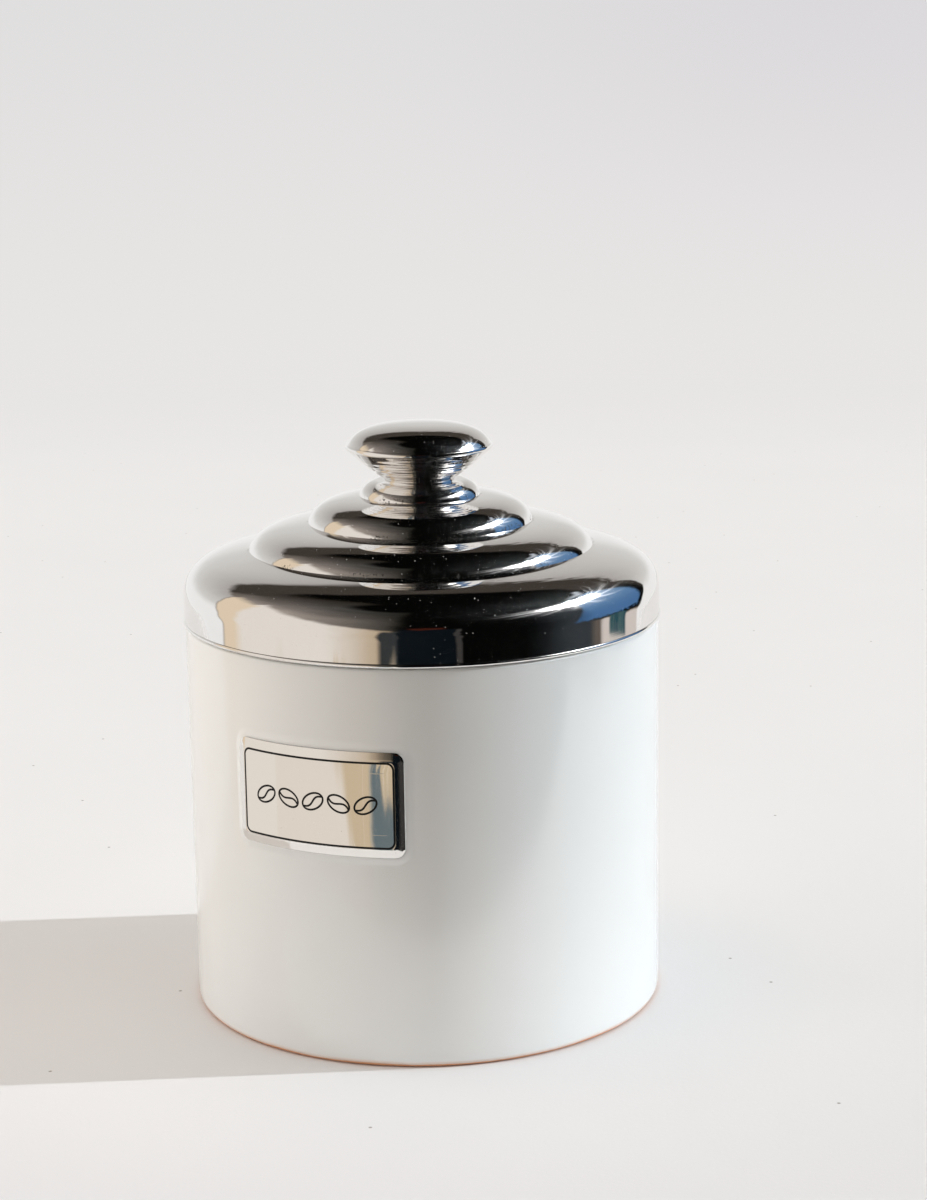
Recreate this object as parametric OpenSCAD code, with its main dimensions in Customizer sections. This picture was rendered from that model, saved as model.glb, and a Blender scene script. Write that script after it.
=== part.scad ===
// Round ceramic storage canister with a stepped metal lid, a turned knob and a curved label plate.
// Millimetres, +Z up. The origin is the centre of the foot ring, on the surface that the canister stands on.
// The label plate faces -Y.

/* [Jar] */
// Outside radius of the wall
jar_r = 60; // [57:0.5:66]
// Height of the flat rim
rim_z = 98.5; // [92:0.5:120]
// Thickness of the wall
wall_t = 5; // [4.5:0.1:5.5]
// Thickness of the floor, above the foot's recess
floor_t = 5; // [4:0.5:8]
// Width of the foot ring that the jar stands on
foot_w = 9; // [6:0.5:14]
// Height of the recess inside the foot ring
foot_h = 1.8; // [1.2:0.1:3]

/* [Lid] */
// Thickness of the spun sheet
sheet_t = 0.8; // [0.6:0.1:1]
// Shadow gap between the rim and the lid's bead
lid_gap = 0.3; // [0.2:0.1:0.6]
// How far the skirt stands outside the jar wall
lid_over = 0.3; // [0.1:0.1:0.6]
// Radius of the rolled bead
bead_r = 0.55; // [0.5:0.05:0.8]
// Height of the straight skirt
skirt_h = 6.5; // [5:0.5:9]
// Radius of the second dome's foot
dome_2_r = 43.5; // [42:0.5:45]
// Height of the second dome's foot above the bead
dome_2_h = 18; // [17:0.5:19]
// Radius of the third dome's foot
dome_3_r = 28.4; // [27:0.1:30]
// Height of the third dome's foot above the bead
dome_3_h = 24.4; // [23.6:0.1:25.2]
// Radius of the boss under the knob
boss_r = 15.3; // [14:0.1:17]
// Height of the boss's foot above the bead
boss_foot_h = 30.9; // [29.8:0.1:31.6]
// Height of the boss above its foot
boss_h = 3.7; // [2.6:0.1:4.4]

/* [Knob] */
// Largest radius of the cap
knob_r = 18.5; // [15:0.1:20]
// Radius of the neck where it stands on the lid
neck_r = 8.8; // [7.5:0.1:9.5]
// Height of the neck, up to where the bowl under the cap begins
neck_h = 0.9; // [0.8:0.1:2]
// Height of the cap's rim above the lid
knob_rim_h = 8.6; // [8:0.1:11]
// Height of the cap above its rim
cap_h = 6; // [4.5:0.1:8]
// Nominal radius of the fixing screw
screw_r = 2.5; // [2:0.25:3]

/* [Plug and seal] */
// How far the plug reaches down into the mouth
plug_depth = 14.5; // [14:0.5:20]
// Clear gap between the plug's wall and the mouth
plug_gap = 2.5; // [2.3:0.1:3]
// Running clearance of the seal ring, in the groove and in the mouth
run_gap = 0.08; // [0.05:0.01:0.1]
// Height of the seal ring
seal_h = 5; // [4:0.5:6]

/* [Label] */
// Width along the curve
label_w = 45.6; // [36:0.1:52]
// Height
label_h = 25.8; // [20:0.1:32]
// Height of its middle above the surface
label_z = 65.8; // [55:0.1:75]
// Corner radius
label_corner = 2.6; // [2:0.1:4]
// Width of the bevelled edge
bevel_w = 2.1; // [1.5:0.1:3]
// Width of the enamel lines
line_w = 0.52; // [0.4:0.02:0.7]
// Number of beans in the drawing
bean_count = 5; // [3:1:5]

/* [Hidden] */
$fn = 96;
eps = 0.05;

// Main radii and heights
mouth_r = jar_r - wall_t;
lid_r = jar_r + lid_over;
lid_z = rim_z + lid_gap;
boss_z = lid_z + boss_foot_h;
top_z = boss_z + boss_h;
knob_rim_z = top_z + knob_rim_h;

// Rounded edges of the jar: the outer foot, the rim's two edges and the corner round the floor inside
foot_step = 1.3;
foot_round = 1.6;
rim_outer_round = 0.7;
rim_inner_round = 1;
floor_round = 8;

// Feet of the domes and of the boss, and the handles of the curves between them, each as [radius, height].
// A handle is measured from the end of the curve that it belongs to.
dome_2_foot = [dome_2_r, lid_z + dome_2_h];
dome_3_foot = [dome_3_r, lid_z + dome_3_h];
boss_foot = [boss_r, boss_z];
dome_1_start = [0, 0.88 * dome_2_h - skirt_h];
dome_1_end = [7.4, -1.5];
dome_2_start = [-1.8, 4.6];
dome_2_end = [7.2, -0.7];
dome_3_start = [-1.2, 4.8];
dome_3_end = [6.2, -0.4];
boss_start = [-0.25, 0.52 * boss_h];
boss_end = [2.2, 0];
boss_round = 4.6;

// Knob: thickness of the rim's rounded edge, how far its curve starts inside the full radius, and handles.
// The bowl's lower edge is measured from the top of the neck.
knob_rim_t = 1.3;
knob_rim_inset = 0.35;
knob_rim_bulge = [0.45, 0.3];
neck_flare = 0.4;
bowl_step = [0.6, 0.25];
bowl_start = [2.4, 1.45];
bowl_end = [-2.85, -2.6];
cap_start = [-2.5, 0.55 * cap_h - 0.65];
cap_end = [0.62 * knob_r, 0];

// Radii of the layers under and in the label, from the wall outwards
seat_t = 0.35;
pad_t = 0.25;
plate_t = 0.6;
edge_t = 0.08;
enamel_depth = 0.2;
seat_r = jar_r + seat_t;
pad_r = seat_r + pad_t;
face_r = pad_r + plate_t;
seat_margin = 1.7;
border_inset = 2.25;
border_corner = 1.9;
pad_inset = 1.5;
pad_corner = 1.5;

// Coffee beans of the drawing: half length and half width, spacing, tilt, and sideways swing of the slit
bean_half_l = 3.15;
bean_half_w = 2.15;
bean_pitch = 6.7;
bean_tilt = 27;
bean_sway = 0.55;

// Washers and screw, hung from the inside of the boss
washer_t = 1;
lock_t = 1.2;
washer_r = 7;
lock_r = 4.6;
slit_w = 1;
slit_tilt = 20;
head_r = 4.7;
head_h = 2.9;
recess_w = 1;
recess_l = 5.2;
recess_depth = 1.6;
hole_gap = 0.25;
tip_gap = 0.6;
bore_depth = 9;
washer_z = top_z - sheet_t - washer_t;
lock_z = washer_z - lock_t;

// Plug: a cup with a flange that rests on the rim, ribs on its floor and a groove between two thin rings
plug_r = mouth_r - plug_gap;
plug_t = 1.8;
plug_round = 2;
flange_r = lid_r - sheet_t - eps;
flange_t = 1.5;
flange_z = rim_z + eps;
flange_lip_h = 4.5;
plug_z = flange_z - plug_depth;
groove_lip = 0.9;
groove_ring_t = 1;
rib_count = 8;
rib_h = 6;
rib_t = 1.4;
hub_r = 13;

// Seal: a thin web with lips, 4 mm under the flange
seal_z = flange_z - seal_h - 4;
seal_web = 1;
lip_count = 3;

// Points along a cubic curve from a to d, with handles b and c.
function curve(a, b, c, d, n) =
    [for (i = [0 : n]) let (t = i / n, s = 1 - t)
        s * s * s * a + 3 * s * s * t * b + 3 * s * t * t * c + t * t * t * d];

// Points along an arc about c.
function arc(c, r, from, to, n) =
    [for (i = [0 : n]) let (a = from + (to - from) * i / n) c + r * [cos(a), sin(a)]];

// A list without its last item, and a list in reverse.
function body_of(v) = [for (i = [0 : len(v) - 2]) v[i]];
function backwards(v) = [for (i = [len(v) - 1 : -1 : 0]) v[i]];

// A profile moved by t to the left of its direction of travel.
function shifted(v, t) =
    [for (i = [0 : len(v) - 1])
        let (d = v[min(i + 1, len(v) - 1)] - v[max(i - 1, 0)])
        v[i] + t * [-d[1], d[0]] / norm(d)];

// Outside of the lid in the r-z plane, from the bead up to the screw hole.
function lid_outside() =
    let (skirt_top = [lid_r, lid_z + skirt_h], boss_top = [boss_r - boss_round, top_z])
    concat(
        [[lid_r, lid_z + bead_r]],
        body_of(curve(skirt_top, skirt_top + dome_1_start, dome_2_foot + dome_1_end, dome_2_foot, 12)),
        body_of(curve(dome_2_foot, dome_2_foot + dome_2_start, dome_3_foot + dome_2_end, dome_3_foot, 10)),
        body_of(curve(dome_3_foot, dome_3_foot + dome_3_start, boss_foot + dome_3_end, boss_foot, 9)),
        curve(boss_foot, boss_foot + boss_start, boss_top + boss_end, boss_top, 6),
        [[screw_r + hole_gap, top_z]]);

// A rectangle with round corners, centred.
module round_rect(w, h, r) {
    square([w - 2 * r, h], center = true);
    square([w, h - 2 * r], center = true);
    for (x = [-1, 1], y = [-1, 1])
        translate([x * (w / 2 - r), y * (h / 2 - r)]) circle(r);
}

// The tube between two radii, at the label's height.
module label_layer(from_r, to_r) {
    translate([0, 0, label_z - label_h])
        difference() {
            cylinder(r = to_r, h = 2 * label_h);
            translate([0, 0, -1]) cylinder(r = from_r, h = 2 * label_h + 2);
        }
}

// An outline drawn on the label's face, pushed through the wall towards -Y.
module through_label() {
    translate([0, 0, label_z]) rotate([90, 0, 0]) linear_extrude(jar_r + 10) children();
}

function chord(w) = 2 * face_r * sin(w / 2 / face_r * 180 / PI);

module border_outline() {
    difference() {
        round_rect(chord(label_w - 2 * border_inset), label_h - 2 * border_inset, border_corner);
        round_rect(chord(label_w - 2 * border_inset) - 2 * line_w, label_h - 2 * border_inset - 2 * line_w,
            border_corner - line_w);
    }
}

function oval(a, b, n) = [for (i = [0 : n - 1]) [a * cos(360 * i / n), b * sin(360 * i / n)]];

// The gap above a bean's wavy slit: the slit's upper edge, then back along the inside of the outline.
function bean_gap() =
    let (a = bean_half_l - line_w, b = bean_half_w - line_w, reach = 0.96, from = acos(reach), n = 8)
    concat(
        [for (i = [0 : n]) let (x = reach * (2 * i / n - 1)) [x * a, bean_sway * sin(180 * x) + line_w / 2]],
        [for (i = [0 : n + 2]) let (t = from + (180 - 2 * from) * i / (n + 2)) [a * cos(t), b * sin(t)]]);

// Outline of a coffee bean: an oval line with a wavy line across it.
module bean() {
    outline = oval(bean_half_l, bean_half_w, 24);
    gap = bean_gap();
    n = len(outline);
    m = len(gap);
    polygon(concat(outline, gap, -gap),
        [[for (i = [0 : n - 1]) i], [for (i = [0 : m - 1]) n + i], [for (i = [0 : m - 1]) n + m + i]]);
}

module bean_row() {
    for (i = [0 : bean_count - 1])
        translate([(i - (bean_count - 1) / 2) * bean_pitch, 0])
            rotate(i % 2 == 0 ? bean_tilt : -bean_tilt) bean();
}

// Glazed jar: one lathe profile and the low raised seat that the plate sits on.
module jar_body() {
    foot_r = jar_r - foot_step;
    floor_z = foot_h + floor_t;
    color("ghostwhite") {
        rotate_extrude()
            polygon(concat(
                [[0, foot_h], [foot_r - foot_w - foot_h, foot_h], [foot_r - foot_w, 0], [foot_r, 0]],
                arc([jar_r - foot_round, foot_round + 0.1], foot_round, -50, 0, 5),
                arc([jar_r - rim_outer_round, rim_z - rim_outer_round], rim_outer_round, 0, 90, 5),
                arc([mouth_r + rim_inner_round, rim_z - rim_inner_round], rim_inner_round, 90, 180, 5),
                arc([mouth_r - floor_round, floor_z + floor_round], floor_round, 0, -90, 9),
                [[0, floor_z]]));
        intersection() {
            label_layer(jar_r - 1, seat_r);
            through_label() round_rect(chord(label_w + 2 * seat_margin), label_h + 2 * seat_margin,
                label_corner + seat_margin);
        }
    }
}

module label_pad() {
    color("dimgray")
        intersection() {
            label_layer(seat_r, pad_r);
            through_label() round_rect(chord(label_w - 2 * pad_inset), label_h - 2 * pad_inset, pad_corner);
        }
}

// Pressed plate: a curved sheet whose four edges slope back to the wall, with the enamel's grooves cut in.
module label_plate() {
    half = label_w / 2 / face_r * 180 / PI;
    inner_half = half - bevel_w / face_r * 180 / PI;
    edge_r = pad_r + edge_t;
    low = label_z - label_h / 2;
    high = label_z + label_h / 2;
    color("silver")
        difference() {
            intersection() {
                rotate_extrude()
                    polygon([[pad_r, low], [edge_r, low], [face_r, low + bevel_w], [face_r, high - bevel_w],
                        [edge_r, high], [pad_r, high]]);
                linear_extrude(2 * rim_z)
                    polygon([[0, 0], edge_r * [sin(half), -cos(half)],
                        face_r * [sin(inner_half), -cos(inner_half)], [0, -2 * jar_r],
                        face_r * [-sin(inner_half), -cos(inner_half)], edge_r * [-sin(half), -cos(half)]]);
                through_label() round_rect(2 * edge_r * sin(half) - 2 * eps, label_h, label_corner);
            }
            intersection() {
                label_layer(face_r - enamel_depth, face_r + 1);
                through_label() {
                    border_outline();
                    bean_row();
                }
            }
        }
}

module enamel() {
    color("black")
        intersection() {
            label_layer(face_r - enamel_depth, face_r - 0.02);
            through_label() children();
        }
}

module label_border() { enamel() border_outline(); }

module label_motif() { enamel() bean_row(); }

// Spun lid: a sheet of even thickness under its outside profile, with a bead rolled at the lower edge.
module lid_shell() {
    outside = lid_outside();
    color("silver")
        rotate_extrude() {
            polygon(concat(outside, backwards(shifted(outside, sheet_t))));
            translate([lid_r - sheet_t + bead_r, lid_z + bead_r]) circle(bead_r);
        }
}

// Moulded plug. The lip round its flange fits inside the lid's skirt.
module lid_plug() {
    groove_low = seal_z - run_gap;
    groove_high = seal_z + seal_h + run_gap;
    inner_floor_z = plug_z + plug_t;
    color("white") {
        rotate_extrude()
            polygon(concat(
                arc([plug_r - plug_round, plug_z + plug_round], plug_round, -90, 0, 5),
                [[plug_r, groove_low - groove_ring_t], [plug_r + groove_lip, groove_low - groove_ring_t],
                 [plug_r + groove_lip, groove_low], [plug_r, groove_low],
                 [plug_r, groove_high], [plug_r + groove_lip, groove_high],
                 [plug_r + groove_lip, groove_high + groove_ring_t], [plug_r, groove_high + groove_ring_t],
                 [plug_r, flange_z], [flange_r, flange_z], [flange_r, flange_z + flange_lip_h],
                 [flange_r - flange_t, flange_z + flange_lip_h], [flange_r - flange_t, flange_z + flange_t],
                 [plug_r - plug_t, flange_z + flange_t], [plug_r - plug_t, inner_floor_z],
                 [0, inner_floor_z], [0, plug_z]]));
        for (i = [0 : rib_count - 1])
            rotate(360 * i / rib_count)
                translate([hub_r - rib_t / 2, -rib_t / 2, inner_floor_z - eps])
                    cube([plug_r - plug_t - hub_r + rib_t / 2 + eps, rib_t, rib_h]);
        translate([0, 0, inner_floor_z - eps])
            difference() {
                cylinder(r = hub_r, h = rib_h);
                translate([0, 0, -1]) cylinder(r = hub_r - rib_t, h = rib_h + 2);
            }
    }
}

// Silicone ring: a web that lies in the plug's groove, with lips that reach the mouth.
module seal_ring() {
    pitch = seal_h / lip_count;
    inner_r = plug_r + run_gap;
    web_r = inner_r + seal_web;
    lip_r = mouth_r - run_gap;
    color("gainsboro")
        rotate_extrude()
            polygon(concat(
                [[inner_r, seal_z]],
                [for (i = [0 : lip_count - 1]) each [
                    [web_r, seal_z + i * pitch],
                    [lip_r, seal_z + (i + 0.55) * pitch],
                    [lip_r, seal_z + (i + 0.8) * pitch],
                    [web_r, seal_z + (i + 0.7) * pitch]]],
                [[web_r, seal_z + seal_h], [inner_r, seal_z + seal_h]]));
}

module washer(z, outer_r, t) {
    translate([0, 0, z])
        difference() {
            cylinder(r = outer_r, h = t);
            translate([0, 0, -1]) cylinder(r = screw_r + hole_gap, h = t + 2);
        }
}

module knob_washer() { color("lightgray") washer(washer_z, washer_r, washer_t); }

module lock_washer() {
    color("gray")
        difference() {
            washer(lock_z, lock_r, lock_t);
            translate([0, 0, lock_z + lock_t / 2]) rotate([slit_tilt, 0, 0])
                translate([0, -slit_w / 2, -lock_t * 2]) cube([lock_r + 1, slit_w, lock_t * 4]);
        }
}

// Pan-head screw with a cross recess, head down.
module knob_screw() {
    head_z = lock_z - head_h;
    color("lightgray")
        difference() {
            union() {
                translate([0, 0, lock_z - eps])
                    cylinder(r = screw_r - eps, h = top_z + bore_depth - tip_gap - lock_z);
                rotate_extrude()
                    polygon(concat([[0, lock_z]],
                        curve([head_r, lock_z], [head_r, head_z + 0.3 * head_h],
                            [0.75 * head_r, head_z], [0, head_z], 8)));
            }
            for (a = [0, 90])
                rotate(a) translate([-recess_w / 2, -recess_l / 2, head_z - 1])
                    cube([recess_w, recess_l, recess_depth + 1]);
        }
}

// Turned knob: a short neck, a bowl that opens towards the rounded rim, and a shallow domed cap.
module knob() {
    neck_top = [neck_r + neck_flare, top_z + neck_h];
    bowl_low = neck_top + bowl_step;
    rim_low = [knob_r - knob_rim_inset, knob_rim_z - knob_rim_t / 2];
    rim_high = [knob_r - knob_rim_inset, knob_rim_z + knob_rim_t / 2];
    crown = [0, knob_rim_z + cap_h];
    color("silver")
        difference() {
            rotate_extrude()
                polygon(concat(
                    [[0, top_z], [neck_r, top_z], neck_top],
                    body_of(curve(bowl_low, bowl_low + bowl_start, rim_low + bowl_end, rim_low, 9)),
                    body_of(curve(rim_low, rim_low + knob_rim_bulge,
                        rim_high + [knob_rim_bulge[0], -knob_rim_bulge[1]], rim_high, 5)),
                    curve(rim_high, rim_high + cap_start, crown + cap_end, crown, 12)));
            translate([0, 0, top_z - 1]) cylinder(r = screw_r, h = bore_depth + 1);
        }
}

jar_body();
label_pad();
label_plate();
label_border();
label_motif();
lid_shell();
lid_plug();
knob_washer();
lock_washer();
knob_screw();
knob();
seal_ring();
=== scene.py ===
"""A white glazed canister with a stepped polished lid, a turned knob and a curved metal label plate.

Everything is in metres, in the CAD part's own frame: +Z is up, the label plate faces -Y.
"""
import math

import bmesh
import bpy
from mathutils import Matrix, Vector


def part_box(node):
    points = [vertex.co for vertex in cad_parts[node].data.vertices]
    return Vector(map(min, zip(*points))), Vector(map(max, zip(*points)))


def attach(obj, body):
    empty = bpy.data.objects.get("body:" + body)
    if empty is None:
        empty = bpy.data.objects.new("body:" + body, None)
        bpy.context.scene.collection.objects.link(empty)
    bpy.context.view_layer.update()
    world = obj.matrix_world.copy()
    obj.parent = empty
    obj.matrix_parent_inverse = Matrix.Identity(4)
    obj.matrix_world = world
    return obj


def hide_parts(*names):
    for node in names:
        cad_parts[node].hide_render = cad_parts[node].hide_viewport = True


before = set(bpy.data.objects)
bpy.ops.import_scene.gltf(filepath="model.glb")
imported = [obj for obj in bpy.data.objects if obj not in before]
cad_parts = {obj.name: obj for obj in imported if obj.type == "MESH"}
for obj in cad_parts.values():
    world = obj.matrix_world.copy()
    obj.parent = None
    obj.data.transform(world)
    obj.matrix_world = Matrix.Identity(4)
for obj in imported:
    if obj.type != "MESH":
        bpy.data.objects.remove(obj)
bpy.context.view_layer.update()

MM = 0.001
TAU = 2 * math.pi

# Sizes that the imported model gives.
JAR_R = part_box("jar_body")[1].x
RIM_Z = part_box("jar_body")[1].z
SEAL_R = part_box("seal_ring")[1].x
LID_LOW, LID_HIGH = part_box("lid_shell")
KNOB_LOW, KNOB_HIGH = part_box("knob")
PLATE_LOW, PLATE_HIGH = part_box("label_plate")
PAD_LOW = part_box("label_pad")[0]
LINE_LOW, LINE_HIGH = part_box("label_border")

# Where the lid's upper domes and its boss start, measured from the axis.
SECOND_DOME_R, THIRD_DOME_R, BOSS_R = 43.5 * MM, 28.4 * MM, 15.3 * MM

# The photograph's viewpoint, seen from the middle of the foot. Angles are in degrees, the lens in mm.
CAMERA_AZIMUTH = 25.95
CAMERA_DISTANCE = 0.6418
CAMERA_HEIGHT = 0.2400
CAMERA_PITCH = -12.134
CAMERA_YAW = 0.946
CAMERA_ROLL = -0.882
CAMERA_LENS = 100.07

# The sun's direction in the room's degrees. Matt surfaces get it lower than the polished ones show it.
SUN_AZIMUTH = 92.8
SUN_ELEVATION = 22
GLINT_ELEVATION = 41

# The seen floor fades into the backdrop's tone at this radius, which the camera sees at this elevation.
FLOOR_END = 1.3
FLOOR_END_ELEVATION = -7.05
BACKDROP_LOW = (0.804, 0.786, 0.778)
DARK_ROOM = (0.0015, 0.0016, 0.0014)


# ---------------------------------------------------------------- curves and meshes

def curve(a, b, c, d, n):
    """n points along a cubic curve from a towards d, without d itself."""
    points = []
    for i in range(n):
        t = i / n
        s = 1 - t
        weights = (s ** 3, 3 * s * s * t, 3 * s * t * t, t ** 3)
        points.append(tuple(sum(w * p[k] for w, p in zip(weights, (a, b, c, d))) for k in (0, 1)))
    return points


def arc(centre, radius, start, end, n):
    """n + 1 points along an arc, angles in degrees."""
    angles = [math.radians(start + (end - start) * i / n) for i in range(n + 1)]
    return [(centre[0] + radius * math.cos(a), centre[1] + radius * math.sin(a)) for a in angles]


def line(a, b, n):
    """n points from a towards b, without b itself."""
    return [(a[0] + (b[0] - a[0]) * i / n, a[1] + (b[1] - a[1]) * i / n) for i in range(n)]


def shifted(points, distance):
    """A profile moved to the left of its direction of travel."""
    moved = []
    last = len(points) - 1
    for i, (r, z) in enumerate(points):
        before, after = points[max(i - 1, 0)], points[min(i + 1, last)]
        dr, dz = after[0] - before[0], after[1] - before[1]
        size = math.hypot(dr, dz)
        moved.append((r - distance * dz / size, z + distance * dr / size))
    return moved


def new_object(name, vertices, faces, sharp_degrees=35):
    """A smooth mesh whose edges stay sharp above the given angle."""
    mesh = bpy.data.meshes.new(name)
    mesh.from_pydata(vertices, [], faces)
    mesh.validate()
    mesh.shade_smooth()
    mesh.set_sharp_from_angle(angle=math.radians(sharp_degrees))
    piece = bpy.data.objects.new(name, mesh)
    bpy.context.scene.collection.objects.link(piece)
    return piece


def even_turn(n):
    """n angles evenly round a full turn."""
    return [TAU * i / n for i in range(n)]


def lathe(name, profile, angles, relief=None, sharp_degrees=35):
    """A closed profile of (r, z) points turned about Z. A point on the axis becomes one vertex.
    relief(angle, r, z) returns how far a point stands out from the profile."""
    vertices, rings = [], []
    for r, z in profile:
        if r < 1e-6:
            rings.append([len(vertices)])
            vertices.append((0, 0, z))
            continue
        rings.append(list(range(len(vertices), len(vertices) + len(angles))))
        for a in angles:
            out = r + (relief(a, r, z) if relief else 0)
            vertices.append((out * math.sin(a), -out * math.cos(a), z))
    faces = []
    n = len(angles)
    for low, high in zip(rings, rings[1:] + rings[:1]):
        if len(low) == len(high) == 1:
            continue
        for i in range(n):
            j = (i + 1) % n
            if len(low) == 1:
                faces.append((low[0], high[j], high[i]))
            elif len(high) == 1:
                faces.append((low[i], low[j], high[0]))
            else:
                faces.append((low[i], low[j], high[j], high[i]))
    return new_object(name, vertices, faces, sharp_degrees)


# ---------------------------------------------------------------- node graphs

class Graph:
    """Short names for building a node tree."""

    def __init__(self, tree):
        self.tree = tree
        tree.nodes.clear()

    def node(self, kind, props=None, **inputs):
        made = self.tree.nodes.new(kind)
        for key, value in (props or {}).items():
            setattr(made, key, value)
        for key, value in inputs.items():
            self.set(made.inputs[key.replace("_", " ")], value)
        return made

    def set(self, socket, value):
        if isinstance(value, bpy.types.NodeSocket):
            self.tree.links.new(value, socket)
        elif isinstance(value, bpy.types.Node):
            self.tree.links.new(value.outputs[0], socket)
        elif socket.type == "RGBA" and not isinstance(value, (int, float)) and len(value) == 3:
            socket.default_value = (*value, 1)
        else:
            socket.default_value = value

    def math(self, operation, *values, clamp=False):
        made = self.tree.nodes.new("ShaderNodeMath")
        made.operation = operation
        made.use_clamp = clamp
        for socket, value in zip(made.inputs, values):
            self.set(socket, value)
        return made.outputs[0]

    def remap(self, value, low, high, to_low=0.0, to_high=1.0, smooth=True):
        made = self.node("ShaderNodeMapRange", {"interpolation_type": "SMOOTHSTEP" if smooth else "LINEAR"})
        for socket, item in zip(made.inputs, (value, low, high, to_low, to_high)):
            self.set(socket, item)
        return made.outputs[0]

    def mix(self, factor, a, b, blend="MIX"):
        made = self.node("ShaderNodeMix", {"data_type": "RGBA", "blend_type": blend})
        self.set(made.inputs[0], factor)
        self.set(made.inputs[6], a)
        self.set(made.inputs[7], b)
        return made.outputs[2]

    def both(self, *masks):
        """The product of masks: 1 only where every one of them is 1."""
        total = masks[0]
        for mask in masks[1:]:
            total = self.math("MULTIPLY", total, mask)
        return total

    def scaled(self, value, factor):
        return self.math("MULTIPLY", value, factor)

    def length(self, x, y):
        return self.math("SQRT", self.math("ADD", self.math("MULTIPLY", x, x), self.math("MULTIPLY", y, y)))

    def blend(self, factor, a, b):
        """A shader that changes from a to b."""
        made = self.node("ShaderNodeMixShader")
        for socket, item in zip(made.inputs, (factor, a, b)):
            self.set(socket, item)
        return made

    def object_coords(self):
        return self.node("ShaderNodeTexCoord").outputs["Object"]

    def split(self, vector):
        return self.node("ShaderNodeSeparateXYZ", Vector=vector).outputs

    def seen_from_camera(self, vector):
        """The vector turned so that -y points to the camera's side and x to its right."""
        return self.node("ShaderNodeVectorRotate", {"rotation_type": "Z_AXIS"}, Vector=vector,
                         Angle=-math.radians(CAMERA_AZIMUTH)).outputs[0]

    def vector(self, x, y, z):
        return self.node("ShaderNodeCombineXYZ", X=x, Y=y, Z=z).outputs[0]

    def noise(self, vector, scale, detail=2.0, roughness=0.5, distortion=0.0):
        return self.node("ShaderNodeTexNoise", Vector=vector, Scale=scale, Detail=detail,
                         Roughness=roughness, Distortion=distortion).outputs[0]

    def bump(self, height, distance, strength=1.0, normal=None):
        made = self.node("ShaderNodeBump", Height=height, Distance=distance, Strength=strength)
        if normal is not None:
            self.set(made.inputs["Normal"], normal)
        return made.outputs[0]


def new_material(name):
    material = bpy.data.materials.new(name)
    material.use_nodes = True
    return material, Graph(material.node_tree)


def finish_material(graph, shader):
    out = graph.node("ShaderNodeOutputMaterial")
    graph.set(out.inputs["Surface"], shader)


def specks(graph, coords, scale, radius, share, dimensions="3D"):
    """A mask of small round specks. A share of the cells has one, and the radius is in cells."""
    cells = graph.node("ShaderNodeTexVoronoi", {"voronoi_dimensions": dimensions}, Vector=coords,
                       Scale=scale)
    lot = graph.node("ShaderNodeSeparateColor", Color=cells.outputs["Color"])
    chosen = graph.math("GREATER_THAN", lot, 1 - share)
    near = graph.remap(cells.outputs["Distance"], radius, radius * 0.4)
    return graph.math("MULTIPLY", near, chosen)


def turned_coords(graph, coords, across, around):
    """Coordinates that run fast across a turned surface and slowly around it, for turning marks."""
    x, y, z = graph.split(coords)
    angle = graph.math("ARCTAN2", y, x)
    return graph.vector(graph.scaled(graph.length(x, y), across), graph.scaled(z, across),
                        graph.scaled(angle, around))


def scratch_mask(g, coords):
    """Short scratches in three directions, in patches."""
    found = []
    for tilt, lean in ((0.5, 0.4), (1.7, 0.7), (2.6, 1.0)):
        turned_over = g.node("ShaderNodeVectorRotate", {"rotation_type": "AXIS_ANGLE"}, Vector=coords,
                             Axis=(0.5, lean, 0.8), Angle=tilt)
        stretched = g.node("ShaderNodeMapping", Vector=turned_over, Scale=(2300, 130, 130))
        found.append(g.remap(g.noise(stretched, 1, 0), 0.80, 0.86))
    scratches = g.math("MAXIMUM", g.math("MAXIMUM", found[0], found[1]), found[2])
    patches = g.remap(g.noise(coords, 60, 2), 0.45, 0.62)
    return g.both(scratches, patches)


def dust_mask(g, coords, amount):
    """Coarse and fine specks of dust, denser in some places."""
    fallen = g.remap(g.noise(coords, 30, 2), 0.35, 0.65, 0.25, 1.0)
    coarse = specks(g, coords, 480, 0.075, 0.30 * amount)
    fine = specks(g, coords, 1100, 0.16, 0.12 * amount)
    return g.both(g.math("MAXIMUM", coarse, fine), fallen)


def grime_mask(g, coords, creases):
    """Crumbs close to the creases, which are circles of the given radii."""
    x, y, _ = g.split(coords)
    radius = g.length(x, y)
    near = 0.0
    for crease in creases:
        away = g.math("ABSOLUTE", g.math("SUBTRACT", radius, crease))
        near = g.math("MAXIMUM", near, g.remap(away, 0.7 * MM, 0.1 * MM))
    crumbs = g.remap(g.noise(coords, 1500, 3, 0.7), 0.56, 0.62)
    crumbs = g.both(crumbs, g.remap(g.noise(coords, 110, 2), 0.48, 0.6))
    return g.both(crumbs, near)


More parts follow.
